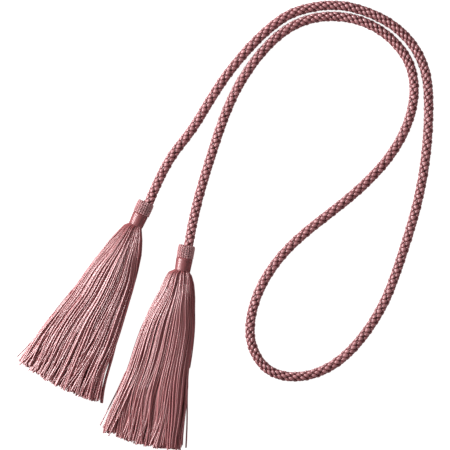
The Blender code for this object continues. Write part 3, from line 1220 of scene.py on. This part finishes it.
    def guides(self) -> bpy.types.Mesh:
        """The skirt's guide lines as one mesh of edges, with what their threads need as attributes."""
        random = np.random.default_rng(self.seed)
        lines = [
            self.lock(row, column, random)
            for row in range(len(self.threads_in_rows))
            for column in range(self.lock_columns - row % 2)
        ]
        lines += [self.top_thread(random) for _ in range(self.top_threads)]
        lines += [self.loose_thread(stray) for stray in self.strays]
        points: list[tuple[float, float, float]] = []
        edges: list[tuple[int, int]] = []
        for line in lines:
            first = len(points)
            points += line.points
            edges += [(i, i + 1) for i in range(first, len(points) - 1)]
        mesh = bpy.data.meshes.new("skirt_guides")
        mesh.from_pydata(points, edges, [])
        values = {
            "down": [down for line in lines for down in line.downs],
            "lock_tone": [line.tone for line in lines for _ in line.points],
            "lock_girth": [line.girth for line in lines for _ in line.points],
        }
        for name, numbers in values.items():
            mesh.attributes.new(name, "FLOAT", "POINT").data.foreach_set("value", numbers)
        rooms = np.ravel([room for line in lines for room in line.rooms])
        mesh.attributes.new("room", "FLOAT_VECTOR", "POINT").data.foreach_set("vector", rooms)
        threads = [line.threads for line in lines for _ in line.points]
        mesh.attributes.new("threads", "INT", "POINT").data.foreach_set("value", threads)
        return mesh

    def build(self, material: bpy.types.Material) -> bpy.types.Mesh:
        """Build the skirt with the given finish, in the tassel's frame."""
        tree = GeometryRecipe("thread_skirt")
        length = tree.named("Length", "Float", self.length)
        root_radius = tree.named("Thread radius at root", "Float", self.root_thread_radius)
        tip_radius = tree.named("Thread radius at tip", "Float", self.tip_thread_radius)
        meander = tree.named("Meander", "Float", self.meander)
        flare = tree.named("Flare", "Float", self.flare)
        uneven = tree.named("Uneven cut", "Float", self.thread_uneven)
        seed = tree.named("Seed", "Int", self.seed)
        yarn = tree.named("Material", "Material", material)
        lines = tree.add("GeometryNodeMeshToCurve", {"Mesh": tree.geometry}).outputs[0]
        feeds = {"Geometry": lines, "Amount": tree.attribute("threads", "INT")}
        threads = tree.add("GeometryNodeDuplicateElements", feeds, domain="SPLINE").outputs[0]
        threads, root_place, tip_place, shade, sway, fineness = tree.captured(
            threads,
            "CURVE",
            root_place=("VECTOR", tree.disc_point(seed, 1)),
            tip_place=("VECTOR", tree.disc_point(seed, 3)),
            shade=("FLOAT", tree.random(0.0, 1.0, seed, 5)),
            sway=("FLOAT", tree.random(-1.0, 1.0, seed, 6)),
            fineness=("FLOAT", tree.random(*self.finenesses, seed, 7)),
        )
        down = tree.attribute("down")
        share = tree.math("MAXIMUM", tree.math("DIVIDE", down, length), 0.0)
        room = tree.attribute("room", "FLOAT_VECTOR")
        tested = tree.product(tree.separated(room)[2], self.ROOM_TEST)
        in_lock = tree.math("MINIMUM", 1.0, tested)
        crossing = tree.scaled(tree.vector("SUBTRACT", tip_place, root_place), share)
        inside = tree.vector("MULTIPLY", tree.vector("ADD", root_place, crossing), room)
        noise_place = tree.combined(
            tree.product(shade, self.NOISE_SPREAD),
            tree.product(down, self.wander_rate),
            sway,
        )
        feeds = {"Vector": noise_place, "Scale": 1.0, "Detail": 1.0}
        noise = tree.add("ShaderNodeTexNoise", feeds).outputs["Color"]
        drift = tree.vector("SUBTRACT", noise, (0.5, 0.5, 0.5))
        reach = tree.product(meander, share, tree.product(in_lock, 2.0))
        wander = tree.vector("MULTIPLY", tree.scaled(drift, reach), self.wander_ways)
        bent = tree.math("POWER", share, float(self.splay_power))
        far = tree.math("POWER", sway, self.flare_power)
        apart = tree.product(far, bent, tree.product(flare, in_lock))
        cut = tree.product(sway, uneven, tree.product(share, share))
        loose = tree.vector("ADD", inside, wander)
        offset = tree.vector("ADD", loose, tree.combined(apart, cut, 0.0))
        threads = tree.moved(threads, tree.vector("ADD", tree.position(), offset))
        girth = tree.product(fineness, tree.attribute("lock_girth"))
        radius = tree.product(tree.blended(share, root_radius, tip_radius), girth)
        threads = tree.above_surface(threads, radius)
        lock_tone = tree.product(tree.attribute("lock_tone"), 1 - self.thread_tone_share)
        tone = tree.math("MULTIPLY_ADD", shade, self.thread_tone_share, lock_tone)
        threads, held_down, held_tone, held_radius = tree.captured(
            threads,
            "POINT",
            held_down=("FLOAT", down),
            held_tone=("FLOAT", tone),
            held_radius=("FLOAT", radius),
        )
        mesh = tree.thread(threads, held_radius, held_down, self.thread_sides)
        mesh = tree.stored(mesh, "tone", held_tone, "FLOAT", "POINT")
        tree.finish(mesh, yarn)
        return tree.run(self.guides())


@dataclass
class Tassel:
    """One tassel: its cap, neck and skirt, and its place in the whole part.

    Its foot is where its neck's foot lies, and its head is turned anticlockwise from the whole part's Y.
    The cord comes in beside its axis, by a distance to the right.
    """

    side: Side
    foot: tuple[float, float]
    turn_deg: float
    cord_beside: float
    skirt: Skirt
    cap: Cap
    neck: Neck

    @property
    def head_top(self) -> float:
        """How far up the head the cap's top is."""
        return self.neck.length + SEAM_GAP + self.cap.height

    @property
    def place(self) -> Matrix:
        """The move from the tassel's frame to the whole part's."""
        turn = Matrix.Rotation(math.radians(self.turn_deg), 4, "Z")
        return Matrix.Translation((*self.foot, 0.0)) @ turn

    def cord_end(self) -> tuple[float, float]:
        """The point where the cord meets the cap, seen from above."""
        met = self.place @ Vector((self.cord_beside, self.head_top + SEAM_GAP, 0.0))
        return met.x, met.y

    def build(self) -> None:
        """Build the cap, neck and skirt as pieces of their own."""
        side = self.side.value
        cap = self.cap.build(self.neck.length + SEAM_GAP, CAP_KNIT.material())
        place_piece(f"knitted_cap_{side}", cap, [f"cap_{side}"], self.place)
        neck = self.neck.build(NECK_SATIN.material())
        place_piece(f"satin_neck_{side}", neck, [f"neck_{side}"], self.place)
        skirt = self.skirt.build(SKIRT_THREADS.material())
        place_piece(f"thread_skirt_{side}", skirt, [f"skirt_{side}"], self.place)


CORD_ROUTE = (
    (0.0505, 0.1305), (0.0620, 0.1455), (0.0790, 0.1725), (0.1190, 0.2215), (0.1385, 0.2355),
    (0.1570, 0.2410), (0.1765, 0.2420), (0.1970, 0.2370), (0.2170, 0.2265), (0.2325, 0.2105),
    (0.2410, 0.1915), (0.2435, 0.1670), (0.2420, 0.1345), (0.2360, 0.0970), (0.2225, 0.0505),
    (0.2100, 0.0175), (0.1935, -0.0090), (0.1710, -0.0305), (0.1450, -0.0395), (0.1230, -0.0350),
    (0.1095, -0.0160), (0.1090, 0.0070), (0.1185, 0.0330), (0.1335, 0.0540), (0.1805, 0.0940),
    (0.2235, 0.1435), (0.2320, 0.1710), (0.2295, 0.1960), (0.2135, 0.2180), (0.1955, 0.2290),
    (0.1765, 0.2335), (0.1570, 0.2325), (0.1385, 0.2255), (0.1195, 0.2095), (0.0960, 0.1750),
    (0.0785, 0.1285), (0.0660, 0.0845),
)


@dataclass
class BraidedCord:
    """The round braid: rows of plump stitches that wind round a core.

    It starts and ends at the caps. A row winds round it once in the lead, and rings of stitches follow
    each other at the ring step. At each end it rises on the rise length from the surface to the cap's
    middle, and its hidden end reaches into the cap. The slip is how far a stitch's turn differs, in
    radians. Sizes, heights and tones of the stitches vary in the ranges given.
    """

    starts: tuple[tuple[float, float], tuple[float, float]]
    route: tuple[tuple[float, float], ...] = CORD_ROUTE
    diameter: float = 0.0070
    crown_radius: float = 0.00397
    core_radius: float = 0.00270
    rows: int = 4
    lead: float = 0.0336
    ring_step: float = 0.0028
    rise_length: float = 0.024
    hidden_end: float = 0.0028
    stitch_length: float = 0.0057
    stitch_width: float = 0.0037
    stitch_lean_deg: float = -52.0
    stitch_sides: int = 10
    core_sides: int = 10
    slip: float = 0.13
    sizes_along: tuple[float, float] = (0.90, 1.06)
    sizes_across: tuple[float, float] = (0.90, 1.04)
    rises: tuple[float, float] = (0.95, 1.0)
    tones: tuple[float, float] = (0.1, 1.0)
    seed: int = 11

    def middle_line(self) -> np.ndarray:
        """The middle line: level on the surface, and up to a cap's middle at each end."""
        flat = natural_spline((self.starts[0], *self.route, self.starts[1]), self.ring_step)
        along = np.concatenate(([0.0], np.cumsum(np.linalg.norm(np.diff(flat, axis=0), axis=1))))
        from_end = np.minimum(along, along[-1] - along)
        lift = np.array([1.0 - smooth_step(distance / self.rise_length) for distance in from_end])
        height = self.crown_radius + (HEAD_AXIS_HEIGHT - self.crown_radius) * lift
        return np.column_stack((flat, height))

    def with_hidden_ends(self, line: np.ndarray) -> np.ndarray:
        """The middle line with one point more at each end, inside the caps."""
        start = (line[0] - line[1]) / np.linalg.norm(line[0] - line[1])
        end = (line[-1] - line[-2]) / np.linalg.norm(line[-1] - line[-2])
        return np.vstack((line[0] + self.hidden_end * start, line, line[-1] + self.hidden_end * end))

    def recipe(self, stitch: bpy.types.Object, material: bpy.types.Material) -> GeometryRecipe:
        """The tree that sets rings of stitches along the middle line."""
        tree = GeometryRecipe("round_braid")
        copied = tree.named("Stitch", "Object", stitch)
        rows = tree.named("Rows", "Int", self.rows)
        ring_turn = tree.named("Turn a ring", "Float", 2 * math.pi * self.ring_step / self.lead)
        core_radius = tree.named("Core radius", "Float", self.core_radius)
        seed = tree.named("Seed", "Int", self.seed)
        yarn = tree.named("Material", "Material", material)
        line = tree.add("GeometryNodeMeshToCurve", {"Mesh": tree.geometry}).outputs[0]
        to_points = tree.add("GeometryNodeCurveToPoints", {"Curve": line}, mode="EVALUATED")
        index = tree.add("GeometryNodeInputIndex").outputs[0]
        points, forward, ring = tree.captured(
            to_points.outputs["Points"],
            "POINT",
            forward=("VECTOR", to_points.outputs["Tangent"]),
            ring=("INT", index),
        )
        feeds = {"Geometry": points, "Amount": rows}
        copies = tree.add("GeometryNodeDuplicateElements", feeds, domain="POINT")
        row_turn = tree.math("DIVIDE", 2 * math.pi, rows)
        angle = tree.math(
            "ADD",
            tree.product(ring, ring_turn),
            tree.product(copies.outputs["Duplicate Index"], row_turn),
        )
        sideways = tree.vector("NORMALIZE", tree.vector("CROSS_PRODUCT", forward, (0.0, 0.0, 1.0)))
        upward = tree.vector("CROSS_PRODUCT", sideways, forward)
        spoke = tree.vector(
            "ADD",
            tree.scaled(sideways, tree.math("COSINE", angle)),
            tree.scaled(upward, tree.math("SINE", angle)),
        )
        rotation = tree.facing(spoke, forward, tree.random(-self.slip, self.slip, seed, 1))
        size = tree.combined(
            tree.random(*self.sizes_along, seed, 2),
            tree.random(*self.sizes_across, seed, 3),
            tree.random(*self.rises, seed, 4),
        )
        tone = tree.random(*self.tones, seed, 5)
        stitches = tree.stitched(copies.outputs["Geometry"], copied, rotation, size, tone)
        # The core carries no crown, so it takes the deep colour: painted shade between the stitches
        core = tree.tube(line, tree.circle(self.core_sides), core_radius)
        tree.finish(tree.joined(stitches, core), yarn)
        return tree

    def build(self) -> bpy.types.Object:
        """Build the cord as a piece of its own."""
        line = self.middle_line()
        whole = self.with_hidden_ends(line)
        source = bpy.data.meshes.new("cord_line")
        source.from_pydata(whole.tolist(), [(i, i + 1) for i in range(len(whole) - 1)], [])
        shape = StitchShape(
            length=self.stitch_length,
            width=self.stitch_width,
            lean_deg=self.stitch_lean_deg,
            foot_radius=self.core_radius,
            crown_radius=self.crown_radius,
            sides=self.stitch_sides,
        )
        stitch = helper_object(shape.mesh("cord_stitch", flat=False))
        mesh = self.recipe(stitch, CORD_YARN.material()).run(source)
        bpy.data.objects.remove(stitch)
        piece = place_piece("braided_cord", mesh, ["cord"])
        return piece


@dataclass
class Studio:
    """The pale floor, the soft light from the left and the camera straight above.

    The centre and the view's width are those of the picture. The floor has a light of its own, which
    keeps it as white as the photo's ground. The key light's azimuth runs anticlockwise from +X.
    """

    centre: tuple[float, float] = (0.0889, 0.0755)
    view_width: float = 0.342
    camera_height: float = 3.0
    floor_size: float = 12.0
    floor_drop: float = 0.0004
    floor_shade: float = 0.30
    floor_roughness: float = 0.9
    floor_glow: float = 0.92
    key_power: float = 35.0
    key_size: float = 0.40
    key_distance: float = 1.4
    key_azimuth_deg: float = 161.0
    key_elevation_deg: float = 25.5
    sky_strength: float = 0.66

    def camera(self) -> None:
        """A long lens straight above, framed as the photo is."""
        data = bpy.data.cameras.new("camera")
        data.lens = data.sensor_width * self.camera_height / self.view_width
        data.clip_end = 4 * self.camera_height
        camera = in_scene("camera", data)
        camera.location = (*self.centre, self.camera_height)
        bpy.context.scene.camera = camera

    def floor(self) -> None:
        """A wide pale floor, just under the cord and tassels."""
        half = self.floor_size / 2
        x, y = self.centre
        ways = ((-1, -1), (1, -1), (1, 1), (-1, 1))
        corners = [(x + a * half, y + b * half, -self.floor_drop) for a, b in ways]
        mesh = bpy.data.meshes.new("floor")
        mesh.from_pydata(corners, [], [(0, 1, 2, 3)])
        material = bpy.data.materials.new("floor_white")
        material.use_nodes = True
        shader = material.node_tree.nodes["Principled BSDF"]
        shader.inputs["Base Color"].default_value = (*[self.floor_shade] * 3, 1.0)
        shader.inputs["Roughness"].default_value = self.floor_roughness
        shader.inputs["Specular IOR Level"].default_value = 0.0
        shader.inputs["Emission Color"].default_value = (1.0, 1.0, 1.0, 1.0)
        shader.inputs["Emission Strength"].default_value = self.floor_glow
        mesh.materials.append(material)
        floor = in_scene("floor", mesh)
        floor.visible_glossy = False

    def lights(self) -> None:
        """One large soft light from the left, and an even sky that doesn't mirror in the threads."""
        azimuth = math.radians(self.key_azimuth_deg)
        elevation = math.radians(self.key_elevation_deg)
        towards = Vector(
            (
                math.cos(azimuth) * math.cos(elevation),
                math.sin(azimuth) * math.cos(elevation),
                math.sin(elevation),
            )
        )
        data = bpy.data.lights.new("key", "AREA")
        data.energy = self.key_power
        data.size = self.key_size
        key = in_scene("key", data)
        key.location = Vector((*self.centre, 0.0)) + self.key_distance * towards
        key.rotation_euler = towards.to_track_quat("Z", "Y").to_euler()
        world = bpy.data.worlds.new("sky")
        world.use_nodes = True
        background = world.node_tree.nodes["Background"]
        background.inputs["Color"].default_value = (1.0, 1.0, 1.0, 1.0)
        background.inputs["Strength"].default_value = self.sky_strength
        world.cycles_visibility.glossy = False
        bpy.context.scene.world = world

    def build(self) -> None:
        """Set up the camera, floor, lights and plain colour handling."""
        self.camera()
        self.floor()
        self.lights()
        bpy.context.scene.view_settings.view_transform = "Standard"


def make_tassels() -> tuple[Tassel, Tassel]:
    """The left and the right tassel."""
    left = Tassel(
        side=Side.LEFT,
        foot=(0.0210, 0.0749),
        turn_deg=-24.6,
        cord_beside=0.0020,
        skirt=Skirt(sections=SLIM_SKIRT, seed=3, strays=SLIM_STRAYS),
        cap=Cap(),
        neck=Neck(radius=0.0058),
    )
    right = Tassel(
        side=Side.RIGHT,
        foot=(0.0566, 0.0407),
        turn_deg=-10.1,
        cord_beside=0.0012,
        skirt=Skirt(sections=FULL_SKIRT, seed=8, strays=FULL_STRAYS),
        cap=Cap(),
        neck=Neck(radius=0.0062),
    )
    return left, right


def main() -> None:
    """Build the studio, the cord and the two tassels."""
    Studio().build()
    tassels = make_tassels()
    BraidedCord(starts=(tassels[0].cord_end(), tassels[1].cord_end())).build()
    for tassel in tassels:
        tassel.build()


if __name__ == "__main__":
    main()
